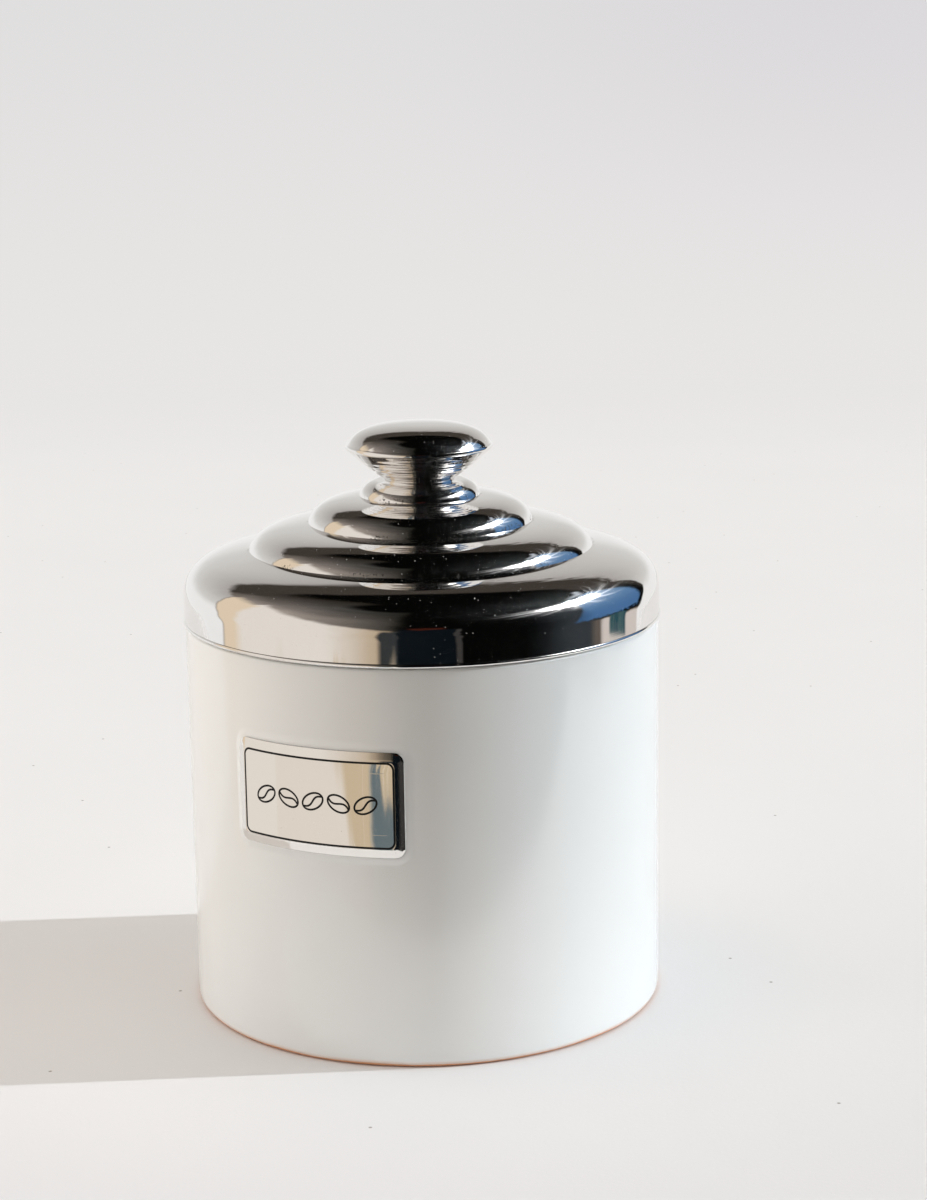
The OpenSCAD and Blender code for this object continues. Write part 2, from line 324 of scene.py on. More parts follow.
def polished_metal(name, tint, turned=True, dust=1.0, creases=()):
    """Mirror polish with hand smudges, fine polishing marks, scratches, dust, and grime in the creases."""
    material, g = new_material(name)
    coords = g.object_coords()
    smudge = g.remap(g.noise(coords, 38, 5, 0.6, 0.4), 0.42, 0.75)
    if turned:
        marks = g.noise(turned_coords(g, coords, 2600, 2.5), 1, 2, 0.6)
    else:
        marks = g.noise(coords, 1400, 2, 0.6)
    scratches = scratch_mask(g, coords)
    waves = g.noise(coords, 42, 1)
    height = g.math("SUBTRACT", g.scaled(marks, 0.10), g.scaled(scratches, 0.8))
    height = g.math("MULTIPLY_ADD", waves, 3.0, height)
    relief = g.bump(height, 0.0035 * MM)
    rough = g.math("MULTIPLY_ADD", smudge, 0.035, 0.020)
    rough = g.math("MULTIPLY_ADD", scratches, 0.12, rough)
    colour = g.mix(g.scaled(smudge, 0.25), tint, tuple(0.93 * c for c in tint))
    mirror = g.node("ShaderNodeBsdfPrincipled", Metallic=1.0, Roughness=rough, Base_Color=colour,
                    Normal=relief)
    # A little of the light is spread by scratches too fine to see.
    sparkle = g.bump(g.noise(coords, 3200, 1), 0.18 * MM, normal=relief)
    haze = g.node("ShaderNodeBsdfPrincipled", Metallic=1.0, Roughness=0.16, Base_Color=colour,
                  Normal=sparkle)
    metal = g.blend(g.math("MULTIPLY_ADD", smudge, 0.012, 0.007), mirror, haze)
    lint = g.node("ShaderNodeBsdfPrincipled", Base_Color=(0.85, 0.84, 0.82), Roughness=0.9)
    metal = g.blend(dust_mask(g, coords, dust), metal, lint)
    if creases:
        grime = g.node("ShaderNodeBsdfPrincipled", Base_Color=(0.035, 0.028, 0.02), Roughness=0.8)
        metal = g.blend(grime_mask(g, coords, creases), metal, grime)
    finish_material(g, metal)
    return material


def glaze_material(name):
    """White glaze over orange clay, which is bare on the foot and shows through at the glaze's edge."""
    material, g = new_material(name)
    coords = g.object_coords()
    height = g.split(coords)[2]
    edge = g.math("ADD", height, g.scaled(g.math("SUBTRACT", g.noise(coords, 55, 3), 0.5), 1.1 * MM))
    bare = g.remap(edge, 0.95 * MM, 0.75 * MM)
    thin = g.remap(edge, 1.9 * MM, 0.85 * MM)
    cloud = g.noise(coords, 22, 3, 0.55)
    white = g.mix(cloud, (0.80, 0.805, 0.79), (0.86, 0.86, 0.845))
    iron_spots = specks(g, coords, 160, 0.045, 0.06)
    white = g.mix(g.scaled(iron_spots, 0.55), white, (0.33, 0.26, 0.2))
    white = g.mix(g.scaled(thin, 0.6), white, (0.80, 0.55, 0.41))
    orange_peel = g.math("ADD", g.noise(coords, 130, 2, 0.5), g.scaled(g.noise(coords, 34, 1), 2.2))
    pits = specks(g, coords, 210, 0.05, 0.05)
    glaze_height = g.math("SUBTRACT", orange_peel, g.scaled(pits, 6.0))
    glaze = g.node("ShaderNodeBsdfPrincipled", Base_Color=white, IOR=1.85,
                   Roughness=g.remap(cloud, 0.3, 0.7, 0.09, 0.15), Normal=g.bump(glaze_height, 0.01 * MM))
    grain = g.noise(coords, 2600, 4, 0.7)
    clay = g.node("ShaderNodeBsdfPrincipled", Roughness=0.85, Normal=g.bump(grain, 0.06 * MM),
                  Base_Color=g.mix(grain, (0.62, 0.28, 0.14), (0.80, 0.44, 0.27)))
    finish_material(g, g.blend(bare, glaze, clay))
    return material


def enamel_material(name):
    """Black enamel with a fine grain and a few worn, greyer spots."""
    material, g = new_material(name)
    coords = g.object_coords()
    wear = g.remap(g.noise(coords, 900, 4, 0.7), 0.55, 0.8)
    shader = g.node("ShaderNodeBsdfPrincipled", Specular_IOR_Level=0.2,
                    Base_Color=g.mix(wear, (0.006, 0.006, 0.006), (0.03, 0.027, 0.024)),
                    Roughness=g.remap(wear, 0, 1, 0.4, 0.65),
                    Normal=g.bump(g.noise(coords, 5200, 3), 0.012 * MM))
    finish_material(g, shader)
    return material


def moulded_material(name, dark, light, roughness, grain_scale, grain_depth, soft=0.0):
    """Moulded plastic or silicone: a fine spark-eroded grain and slightly uneven colour."""
    material, g = new_material(name)
    coords = g.object_coords()
    cloud = g.noise(coords, 45, 4, 0.6)
    grain = g.noise(coords, grain_scale, 3, 0.65)
    shader = g.node("ShaderNodeBsdfPrincipled", Base_Color=g.mix(cloud, dark, light),
                    Roughness=g.remap(grain, 0.3, 0.7, roughness - 0.06, roughness + 0.06),
                    Normal=g.bump(grain, grain_depth), Subsurface_Weight=soft, Subsurface_Scale=2 * MM)
    finish_material(g, shader)
    return material


def steel_material(name):
    """Bright turned steel for the screw and washers."""
    material, g = new_material(name)
    coords = g.object_coords()
    rings = g.noise(turned_coords(g, coords, 5200, 1.5), 1, 3, 0.7)
    stain = g.noise(coords, 210, 3)
    shader = g.node("ShaderNodeBsdfPrincipled", Metallic=1.0,
                    Base_Color=g.mix(stain, (0.50, 0.49, 0.48), (0.66, 0.65, 0.63)),
                    Roughness=g.remap(rings, 0.3, 0.7, 0.22, 0.36), Normal=g.bump(rings, 0.01 * MM))
    finish_material(g, shader)
    return material


def floor_material(name, seen):
    """Pale matt paper with a few crumbs.

    The sheet that is seen turns into the backdrop's tone far from the tin. The sheet that only lights the
    tin, and shows in its polished parts, ends close to it in front and at the sides.
    """
    material, g = new_material(name)
    coords = g.object_coords()
    x, y, _ = g.split(g.seen_from_camera(coords))
    tone = g.mix(g.noise(coords, 9, 3), (0.745, 0.738, 0.738), (0.77, 0.763, 0.763))
    if seen:
        # Painted shade: the seen paper is made darker towards the camera's side.
        tone = g.mix(g.remap(y, -0.02, -0.14), tone, (0.695, 0.685, 0.69))
        tone = g.mix(specks(g, coords, 24, 0.014, 0.4, "2D"), tone, (0.30, 0.28, 0.26))
    paper = g.node("ShaderNodeBsdfPrincipled", Base_Color=tone, Roughness=0.75,
                   Normal=g.bump(g.noise(coords, 900, 3), 0.04 * MM))
    ended = g.remap(g.length(x, y), FLOOR_END - 0.55, FLOOR_END - 0.05)
    if seen:
        # Painted glow: far from the tin the seen paper shines evenly in the backdrop's tone instead of
        # being lit.
        beyond = g.node("ShaderNodeEmission", Color=BACKDROP_LOW)
    else:
        beyond = g.node("ShaderNodeBsdfTransparent")
        front, side, soft = -0.14, 0.38, 0.03
        corner = g.math("MULTIPLY_ADD", g.math("MAXIMUM", g.math("ADD", y, 0.04), 0), 1.2, x)
        ended = g.math("MAXIMUM", ended, g.remap(g.math("MINIMUM", y, corner), front, front - soft))
        ended = g.math("MAXIMUM", ended, g.remap(g.math("ABSOLUTE", x), side, side + 0.05))
    finish_material(g, g.blend(ended, paper, beyond))
    return material


# ---------------------------------------------------------------- the pieces

def past(point, r, z):
    """A point some millimetres away from another in the r-z plane."""
    return point[0] + r * MM, point[1] + z * MM


def place_piece(piece, body, node, material):
    """Puts a piece in the place of the CAD node that it replaces."""
    piece.data.materials.append(material)
    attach(piece, body)
    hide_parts(node)


def lid_outside():
    """The lid's outside from the bead to the boss, in the r-z plane: a skirt, three domes and a boss."""
    low, top = LID_LOW.z, LID_HIGH.z
    skirt_r = LID_HIGH.x - 0.3 * MM
    skirt_top = (skirt_r, low + 6.5 * MM)
    second = (SECOND_DOME_R, low + 18.0 * MM)
    third = (THIRD_DOME_R, low + 24.4 * MM)
    boss = (BOSS_R, low + 30.9 * MM)
    boss_top = (boss[0] - 4.6 * MM, top)
    screw_hole = (2.8 * MM, top)
    # How each swell leaves its start and comes to its end, as offsets in mm, then its end and points.
    swells = (
        ((0, 9.34), (7.4, -1.5), second, 44),
        ((-1.8, 4.6), (7.2, -0.7), third, 34),
        ((-1.2, 4.8), (6.2, -0.4), boss, 30),
        ((-0.25, 1.92), (2.2, 0), boss_top, 20),
    )
    start = skirt_top
    points = line((skirt_r, low + 1.04 * MM), start, 6)
    for leave, arrive, end, count in swells:
        points += curve(start, past(start, *leave), past(end, *arrive), end, count)
        start = end
    points += line(boss_top, screw_hole, 6)
    points.append(screw_hole)
    return points


def make_lid(metal):
    """One spun sheet of even thickness with a rolled bead at its lower edge."""
    sheet = 0.8 * MM
    bead_r = 0.55 * MM
    outside = lid_outside()
    inside = shifted(outside, sheet)
    centre = (LID_HIGH.x - bead_r, LID_LOW.z + bead_r)
    bead = arc(centre, bead_r, -180, 60, 20)
    lid = lathe("spun_lid", bead + outside + inside[::-1], even_turn(256), sharp_degrees=28)
    place_piece(lid, "lid", "lid_shell", metal)


def make_knob(metal):
    """A lens-shaped cap with a thin rim on a turned bowl, with a blind hole for the screw."""
    rim_r = KNOB_HIGH.x
    low, top = KNOB_LOW.z, KNOB_HIGH.z
    rim_z = low + 8.6 * MM
    rim_half = 0.65 * MM
    inset = 0.27 * MM
    neck = (8.8 * MM, low)
    bowl = (9.8 * MM, low + 1.15 * MM)
    under = (rim_r - inset, rim_z - rim_half)
    over = (rim_r - inset, rim_z + rim_half)
    bore_r = 2.5 * MM
    bore_top = low + 9 * MM
    profile = line((bore_r, low), neck, 3)
    profile += curve(neck, past(neck, 0, 0.5), past(neck, 0.35, 1.0), bowl, 10)
    # Shallow steps left by the turning tool under the cap.
    count, turns, depth = 60, 6, 0.028 * MM
    for i, (r, z) in enumerate(curve(bowl, past(bowl, 2.4, 1.45), past(under, -2.85, -2.6), under, count)):
        step = depth * math.sin(TAU * turns * i / count) * math.sin(math.pi * i / count)
        profile.append((r + step, z - step))
    widest = rim_r + 0.1 * MM
    profile += curve(under, (widest, rim_z - 0.35 * MM), (widest, rim_z + 0.35 * MM), over, 12)
    profile += curve(over, (rim_r - 2.1 * MM, rim_z + 3.6 * MM), (rim_r * 0.72, top), (0, top), 40)
    profile += [(0, top), (0, bore_top), (bore_r, bore_top)]
    knob = lathe("turned_knob", profile, even_turn(200), sharp_degrees=28)
    place_piece(knob, "lid", "knob", metal)


# The label's own plane: u runs along the curve of the wall from the middle, v runs up from the middle.
PLATE_FACE_R = -PLATE_LOW.y
PLATE_EDGE_R = -PAD_LOW.y + 0.08 * MM
PLATE_MID_Z = (PLATE_LOW.z + PLATE_HIGH.z) / 2
PLATE_H = PLATE_HIGH.z - PLATE_LOW.z
PLATE_W = 2 * PLATE_FACE_R * math.asin(PLATE_HIGH.x / PLATE_EDGE_R)
PLATE_CORNER = 2.6 * MM
BEVEL_W = 2.1 * MM
LINE_W = 0.52 * MM
LINE_INSET = (PLATE_H - (LINE_HIGH.z - LINE_LOW.z)) / 2
LINE_CORNER = 1.9 * MM
ENAMEL_CROWN = 0.015 * MM


def on_wall(u, v, r):
    """The place in space of a point on the label, at a distance from the axis."""
    a = u / PLATE_FACE_R
    return r * math.sin(a), -r * math.cos(a), PLATE_MID_Z + v


def round_rect(width, height, corner, steps_corner=10, steps_side=(60, 34)):
    """Points round a rectangle with round corners, in the same order and number for any size."""
    corner = max(corner, 0.02 * MM)
    x, y = width / 2 - corner, height / 2 - corner
    corners = [arc((sx * x, sy * y), corner, start, start + 90, steps_corner)
               for sx, sy, start in ((1, 1, 0), (-1, 1, 90), (-1, -1, 180), (1, -1, 270))]
    points = []
    for i, bend in enumerate(corners):
        following = corners[(i + 1) % 4]
        points += bend + line(bend[-1], following[0], steps_side[i % 2])[1:]
    return points


def bridge(rings):
    """Quads between rings of the same number of points."""
    faces = []
    n = len(rings[0])
    for a, b in zip(rings, rings[1:]):
        faces += [(a[i], a[(i + 1) % n], b[(i + 1) % n], b[i]) for i in range(n)]
    return faces


def closing_in(points, shares):
    """Copies of an outline on the label that close in on the label's middle line, share by share."""
    spine = (PLATE_W - PLATE_H) / 2
    return [[(u + (max(-spine, min(spine, u)) - u) * k, v * (1 - k)) for u, v in points] for k in shares]


def make_plate(metal):
    """Pressed plate: bevelled edge, a groove for the enamel line, and a middle that follows the wall."""
    groove_r = PLATE_FACE_R - 0.16 * MM
    back_r = -PAD_LOW.y
    soft = 0.05 * MM
    inner_corner = max(PLATE_CORNER - BEVEL_W, 0.4 * MM)
    # From the back's edge over the bevel to the groove's inner edge: inset, corner, distance from the axis.
    steps = [(0, PLATE_CORNER, back_r),
             (0, PLATE_CORNER, PLATE_EDGE_R - soft),
             (soft, PLATE_CORNER, PLATE_EDGE_R)]
    for k in (0.25, 0.5, 0.75, 0.93):
        steps.append((soft + (BEVEL_W - soft) * k, PLATE_CORNER + (inner_corner - PLATE_CORNER) * k,
                      PLATE_EDGE_R + (PLATE_FACE_R - PLATE_EDGE_R) * k))
    steps += [(BEVEL_W + 0.04 * MM, inner_corner, PLATE_FACE_R),
              (LINE_INSET, LINE_CORNER, PLATE_FACE_R),
              (LINE_INSET + soft, LINE_CORNER, groove_r),
              (LINE_INSET + LINE_W - soft, LINE_CORNER - LINE_W, groove_r),
              (LINE_INSET + LINE_W, LINE_CORNER - LINE_W, PLATE_FACE_R)]
    vertices = []

    def add_ring(points, r):
        first = len(vertices)
        vertices.extend(on_wall(u, v, r) for u, v in points)
        return list(range(first, len(vertices)))

    front = []
    for inset, corner, r in steps:
        outline = round_rect(PLATE_W - 2 * inset, PLATE_H - 2 * inset, corner)
        front.append(add_ring(outline, r))
    shares = (0.15, 0.3, 0.45, 0.6, 0.75, 0.9, 1.0)
    front += [add_ring(ring, PLATE_FACE_R) for ring in closing_in(outline, shares)]
    edge = round_rect(PLATE_W, PLATE_H, PLATE_CORNER)
    back = [add_ring(ring, back_r) for ring in closing_in(edge, (0.0, 0.5, 1.0))]
    faces = bridge(front) + [tuple(reversed(face)) for face in bridge(back)]
    plate = new_object("plate_face", vertices, faces, sharp_degrees=24)
    merge_close(plate)
    place_piece(plate, "jar", "label_plate", metal)


def merge_close(piece, distance=0.002 * MM):
    """Joins vertices that meet, and turns all faces outwards."""
    mesh = bmesh.new()
    mesh.from_mesh(piece.data)
    bmesh.ops.remove_doubles(mesh, verts=mesh.verts, dist=distance)
    bmesh.ops.recalc_face_normals(mesh, faces=mesh.faces)
    mesh.to_mesh(piece.data)
    mesh.free()


def ribbon(path, width, closed, base_r, crown):
    """A crowned strip of enamel along a path on the label: its vertices and faces."""
    # The strip's section: shares of the width and of the crown's height.
    across = [(-0.5, -1.0), (-0.46, 0.35), (-0.3, 0.8), (0.0, 1.0), (0.3, 0.8), (0.46, 0.35), (0.5, -1.0)]
    count = len(path)
    vertices, rows = [], []
    for i, (u, v) in enumerate(path):
        before = path[i - 1] if closed or i else path[i]
        after = path[(i + 1) % count] if closed or i < count - 1 else path[i]
        du, dv = after[0] - before[0], after[1] - before[1]
        size = math.hypot(du, dv)
        nu, nv = -dv / size, du / size
        rows.append(list(range(len(vertices), len(vertices) + len(across))))
        vertices += [on_wall(u + nu * s * width, v + nv * s * width, base_r + h * crown) for s, h in across]
    faces = []
    for i in range(count if closed else count - 1):
        a, b = rows[i], rows[(i + 1) % count]
        faces += [(a[k], a[k + 1], b[k + 1], b[k]) for k in range(len(across) - 1)]
        faces.append((a[-1], a[0], b[0], b[-1]))
    if not closed:
        faces += [tuple(reversed(rows[0])), tuple(rows[-1])]
    return vertices, faces


def enamel_piece(name, strips, node, enamel):
    """One piece made of all its strips."""
    vertices, faces = [], []
    for more_vertices, more_faces in strips:
        start = len(vertices)
        vertices += more_vertices
        faces += [tuple(start + i for i in f) for f in more_faces]
    piece = new_object(name, vertices, faces, sharp_degrees=60)
    merge_close(piece, 0.0001 * MM)
    place_piece(piece, "jar", node, enamel)


def make_border(enamel):
    inset = LINE_INSET + LINE_W / 2
    path = round_rect(PLATE_W - 2 * inset, PLATE_H - 2 * inset, LINE_CORNER - LINE_W / 2)
    strip = ribbon(path, LINE_W, True, PLATE_FACE_R, ENAMEL_CROWN)
    enamel_piece("plate_line", [strip], "label_border", enamel)


def placed(points, middle, turn):
    """Points of a drawing turned about its own middle and moved along the label."""
    return [(middle + x * math.cos(turn) - y * math.sin(turn), x * math.sin(turn) + y * math.cos(turn))
            for x, y in points]


def make_beans(enamel):
    """A row of coffee beans, tilted left and right in turn: an oval outline with a wavy slit."""
    count, pitch, tilt = 5, 6.7 * MM, math.radians(27)
    half_long, half_short, sway = 3.15 * MM - LINE_W / 2, 2.15 * MM - LINE_W / 2, 0.55 * MM
    slit_crown = ENAMEL_CROWN - 0.002 * MM
    outline = [(half_long * math.cos(a), half_short * math.sin(a)) for a in even_turn(72)]
    slit = [(half_long * i / 16, sway * math.sin(math.pi * i / 16)) for i in range(-16, 17)]
    strips = []
    for k in range(count):
        turn = tilt if k % 2 == 0 else -tilt
        middle = (k - (count - 1) / 2) * pitch
        strips.append(ribbon(placed(outline, middle, turn), LINE_W, True, PLATE_FACE_R, ENAMEL_CROWN))
        strips.append(ribbon(placed(slit, middle, turn), LINE_W, False, PLATE_FACE_R, slit_crown))
    enamel_piece("plate_beans", strips, "label_motif", enamel)


def seat_relief(angle, r, z):
    """How far the soft raised seat round the plate stands out from the wall."""
    height, flat, run_out = 0.35 * MM, 0.25 * MM, 2.0 * MM
    if r < JAR_R - 0.01 * MM or not 20 * MM < z < RIM_Z - 2 * MM:
        return 0
    u = ((angle + math.pi) % TAU - math.pi) * PLATE_FACE_R
    v = z - PLATE_MID_Z
    du = max(abs(u) - (PLATE_W / 2 - PLATE_CORNER), 0)
    dv = max(abs(v) - (PLATE_H / 2 - PLATE_CORNER), 0)
    away = math.hypot(du, dv) - PLATE_CORNER
    k = min(max((away - flat) / run_out, 0), 1)
    return height * (1 - k * k * (3 - 2 * k))


def jar_angles():
    """Columns of the jar's mesh: close together over the label, wider apart elsewhere."""
    half = math.radians(29)
    count = 150
    angles = [-half + 2 * half * i / count for i in range(count)]
    angles += [half + (TAU - 2 * half) * i / count for i in range(count)]
    return angles


def make_jar(glaze):
    """A straight jar with a recess under the foot, round edges at the rim and a round inside corner."""
    mouth_r = SEAL_R + 0.08 * MM
    foot_r = JAR_R - 1.3 * MM
    ring_r = foot_r - 9 * MM
    recess = 1.8 * MM
    floor_z = recess + 5 * MM
    inner_round = 8 * MM
    outer_edge, inner_edge = 0.7 * MM, 1 * MM
    label_low, label_high = PLATE_LOW.z - 4 * MM, PLATE_HIGH.z + 4 * MM
    recess_end = (ring_r - 3.2 * MM, recess)
    ring_in, ring_out = (ring_r + 0.5 * MM, 0), (foot_r - 0.3 * MM, 0)
    wall_start = (JAR_R, 1.9 * MM)
    profile = line((0, recess), recess_end, 12)
    profile += curve(recess_end, past(recess_end, 2, 0), (ring_r - 0.9 * MM, 0.1 * MM), ring_in, 10)
    profile += line(ring_in, ring_out, 8)
    profile += curve(ring_out, past(ring_out, 0.9, 0), past(wall_start, 0, -1.2), wall_start, 10)
    heights = ((20 * MM, 12), (label_low, 12), (label_high, 90), (RIM_Z - outer_edge, 12))
    start = wall_start
    for z, count in heights:
        profile += line(start, (JAR_R, z), count)
        start = (JAR_R, z)
    profile += arc((JAR_R - outer_edge, RIM_Z - outer_edge), outer_edge, 0, 90, 8)
    profile += arc((mouth_r + inner_edge, RIM_Z - inner_edge), inner_edge, 90, 180, 8)
    profile += line((mouth_r, RIM_Z - inner_edge), (mouth_r, floor_z + inner_round), 16)[1:]
    profile += arc((mouth_r - inner_round, floor_z + inner_round), inner_round, 0, -90, 14)
    profile += line((mouth_r - inner_round, floor_z), (0, floor_z), 10)[1:]
    profile.append((0, floor_z))
    jar = lathe("glazed_jar", profile, jar_angles(), seat_relief, sharp_degrees=50)
    place_piece(jar, "jar", "jar_body", glaze)


def floor_disc(name, z, material):
    """A round sheet of paper, which isn't part of the object."""
    rim = [(FLOOR_END * math.sin(a), -FLOOR_END * math.cos(a), z) for a in even_turn(256)]
    floor = new_object(name, rim, [tuple(range(len(rim)))])
    floor.data.materials.append(material)
    return floor


def add_floor():
    """The paper that is seen, and just under it the paper that lights the tin and shows in the metal."""
    seen = floor_disc("floor", 0, floor_material("pale_paper", True))
    seen.visible_diffuse = seen.visible_glossy = seen.visible_shadow = False
    lighting = floor_disc("floor_sheet", -0.1 * MM, floor_material("sheet_paper", False))
    lighting.visible_camera = False


# ---------------------------------------------------------------- camera and light

def add_camera():
    """The photograph's camera."""
    around = Matrix.Rotation(math.radians(CAMERA_AZIMUTH), 3, "Z")
    yaw, pitch, roll = (math.radians(a) for a in (CAMERA_YAW, CAMERA_PITCH, CAMERA_ROLL))
    forward = Vector((math.sin(yaw) * math.cos(pitch), math.cos(yaw) * math.cos(pitch), math.sin(pitch)))
    right = Vector((math.cos(yaw), -math.sin(yaw), 0))
    up = right.cross(forward)
    tilted_right = right * math.cos(roll) + up * math.sin(roll)
    tilted_up = up * math.cos(roll) - right * math.sin(roll)
    turn = around @ Matrix((tilted_right, tilted_up, -forward)).transposed()
    data = bpy.data.cameras.new("camera")
    data.lens = CAMERA_LENS
    data.sensor_width = 36
    data.sensor_fit = "HORIZONTAL"
    data.clip_start = 0.02
    camera = bpy.data.objects.new("camera", data)
    place = around @ Vector((0, -CAMERA_DISTANCE, CAMERA_HEIGHT))
    camera.matrix_world = Matrix.Translation(place) @ turn.to_4x4()
    bpy.context.scene.collection.objects.link(camera)
    bpy.context.scene.camera = camera


class Room(Graph):
    """The studio as a picture on the world.

    Angles are in degrees. Azimuth 0 is the camera's side and runs to the right.
    """

    def __init__(self, tree):
        super().__init__(tree)
        self.direction = self.seen_from_camera(self.node("ShaderNodeTexCoord").outputs["Generated"])
        self.x, y, z = self.split(self.direction)
        azimuth = self.scaled(self.math("ARCTAN2", self.x, self.scaled(y, -1)), 180 / math.pi)
        self.level = self.scaled(self.math("ARCSINE", z), 180 / math.pi)
        # Nothing in the room is quite straight.
        self.az = self.uneven(azimuth, 5, 3, 7)
        self.el = self.uneven(self.level, 7, 3, 5)
        self.sky = DARK_ROOM

    def uneven(self, value, scale, detail, amount):
        wave = self.math("SUBTRACT", self.noise(self.direction, scale, detail), 0.5)
        return self.math("MULTIPLY_ADD", wave, amount, value)

    def paint(self, colour, *masks):
        """Puts a colour over what is there, where all the masks are 1."""
        self.sky = self.mix(self.both(*masks), self.sky, colour)

    def span(self, value, low, high, soft):
        return self.both(self.remap(value, low - soft, low + soft),
                         self.remap(value, high + soft, high - soft))

    def under(self, value, limit, soft):
        return self.remap(self.math("SUBTRACT", value, limit), soft, -soft)

    def leaning(self, per_degree):
        """Azimuth that shifts with elevation, for edges that aren't upright."""
        return self.math("MULTIPLY_ADD", self.el, per_degree, self.az)

    def stripes(self, scale, detail, low, high):
        """Upright stripes, from noise along the azimuth."""
        return self.remap(self.noise(self.vector(self.az, 0, 0), scale, detail), low, high)


def paint_dark_end(room):
    """The upper part of the warm wall, darker upwards and towards both ends, and the dim end behind it."""
    az, el = room.az, room.el
    shade = room.mix(room.remap(el, 36, 52), (0.40, 0.35, 0.31), (0.185, 0.16, 0.145))
    shade = room.mix(room.remap(el, 50, 68), shade, (0.07, 0.066, 0.06))
    shade = room.mix(room.remap(az, -82, -10, smooth=False), shade, (0.012, 0.012, 0.009))
    shade = room.mix(room.remap(az, -98, -150, smooth=False), shade, (0.02, 0.016, 0.012))
    room.paint(shade, room.span(az, -150, -12, 6), room.remap(el, 76, 68))
    behind = room.remap(room.math("ABSOLUTE", az), 132, 140)
    room.paint((0.052, 0.043, 0.036), behind, room.remap(el, 50, 46))


def paint_wall(room, wall_end):
    """The wall itself: cream, turning tan beside the dark room, with a peach end beside the sweep."""
    az, el = room.az, room.el
    cream = room.mix(room.remap(az, -52, -14), (0.83, 0.777, 0.717), (0.50, 0.38, 0.25))
    top = room.math("MULTIPLY_ADD", room.math("SUBTRACT", az, -100), -0.38, 42)
    room.paint(cream, room.span(az, -104, -15, 1.5), room.under(el, top, 4))
    peach_span = room.both(room.remap(wall_end, -114, -111), room.remap(az, -95, -101))
    room.paint((0.79, 0.65, 0.486), peach_span, room.under(el, 36, 4))


def paint_bottle(room):
    """A bottle with a red cap in the dark room, and a streak of light beside it."""
    az, el = room.az, room.el
    room.paint((0.035, 0.038, 0.04), room.span(az, -21, -8, 1.5), room.under(el, 9, 3))
    room.paint((0.0035, 0.006, 0.0085), room.span(az, -12, 15, 1), room.under(el, 14, 1))
    room.paint((0.045, 0.010, 0.006), room.span(az, -7, 10, 2), room.span(el, 14, 19, 1.5))
    room.paint((0.045, 0.042, 0.04), room.span(az, 15, 17.5, 0.8), room.under(el, 13, 2))


def paint_low_wall(room):
    """Low on the left, where the label plate looks: the wall's foot and something grey that leans on it."""
    az, el = room.az, room.el
    bend = room.math("MULTIPLY_ADD", el, 3, az)
    wall = room.mix(room.remap(bend, -92, -85), (0.80, 0.735, 0.665), (0.62, 0.50, 0.35))
    streaks = room.both(room.stripes(0.9, 2, 0.5, 0.62), room.remap(az, -34, -27))
    wall = room.mix(streaks, wall, (0.70, 0.60, 0.47))
    creased = room.noise(room.vector(az, room.scaled(el, 2.2), 0), 0.42, 2)
    folds = room.math("MULTIPLY_ADD", creased, 3.5, el)
    wall = room.mix(room.both(room.span(az, -25, -15, 1.5), room.under(folds, -13.9, 0.25)), wall,
                    (0.14, 0.18, 0.20))
    room.paint(wall, room.span(az, -75, -13, 1), room.under(el, -13.6, 0.4))


def paint_window(room, bulge, ragged):
    """The haze round the window, the blue through it with a dark frame, and what stands under it."""
    az, el = room.az, room.el
    room.paint((0.035, 0.042, 0.048), room.remap(az, 50, 84), room.remap(el, 58, 30),
               room.remap(az, 110, 96))
    blue = room.mix(room.remap(el, 0, 42), (0.07, 0.17, 0.36), (0.15, 0.28, 0.46))
    dim_blue = room.mix(0.4, blue, DARK_ROOM)
    blue = room.mix(room.remap(az, 78, 90), dim_blue, blue)
    room.paint(blue, room.remap(room.leaning(-0.33), 77, 80), room.remap(bulge, 131, 127),
               room.span(ragged, -6, 45, 1.5))
    room.paint((0.5, 0.54, 0.6), room.remap(az, 100, 118), room.remap(az, 134, 128),
               room.span(el, 46.5, 48.5, 1))
    room.paint((0.12, 0.10, 0.085), room.remap(az, 85, 91), room.under(el, -9, 1))
    room.paint((0.66, 0.60, 0.56), room.remap(az, 92.5, 95.5), room.under(el, -10, 1))
    teal = room.mix(room.stripes(0.6, 1, 0.45, 0.55), (0.022, 0.07, 0.09), (0.06, 0.12, 0.125))
    room.paint(teal, room.span(az, 99.5, 113.5, 1.2), room.remap(room.level, -12.97, -12.89),
               room.under(el, -7.5, 0.7))


def paint_sweep(room, left_edge, right_edge, ragged):
    """The white sweep behind, dimmer upwards."""
    el = room.el
    sweep = room.mix(room.remap(el, 2, 14), (0.91, 0.905, 0.90), (0.66, 0.65, 0.63))
    sweep = room.mix(room.remap(el, 14, 40, smooth=False), sweep, (0.34, 0.31, 0.29))
    right = room.both(room.remap(right_edge, 134, 136), room.under(ragged, 33, 2))
    left = room.both(room.remap(left_edge, -112, -115), room.under(el, 33, 2))
    room.paint(sweep, room.math("MAXIMUM", left, right))


def sun_glow(room):
    """A glow with rays round the sun, of a shape that the lid's big dome mirrors as a round star."""
    off_az = room.scaled(room.math("SUBTRACT", room.az, SUN_AZIMUTH), 0.22)
    above = room.math("SUBTRACT", room.el, GLINT_ELEVATION)
    off_el = room.math("MAXIMUM", room.scaled(above, 1.8), room.scaled(above, 0.6))
    off = room.length(off_az, off_el)
    ray = room.math("SINE", room.scaled(room.math("ARCTAN2", off_el, off_az), 8))
    ray = room.math("POWER", room.math("ABSOLUTE", ray), 8)
    ray = room.both(ray, room.math("POWER", room.remap(off, 14, 1, smooth=False), 2))
    glow = room.math("POWER", room.remap(off, 15, 0, smooth=False), 4)
    glow = room.math("MULTIPLY_ADD", glow, 2.6, room.scaled(ray, 2.4))
    return room.math("MULTIPLY_ADD", room.remap(off, 6.5, 4), 5, glow)


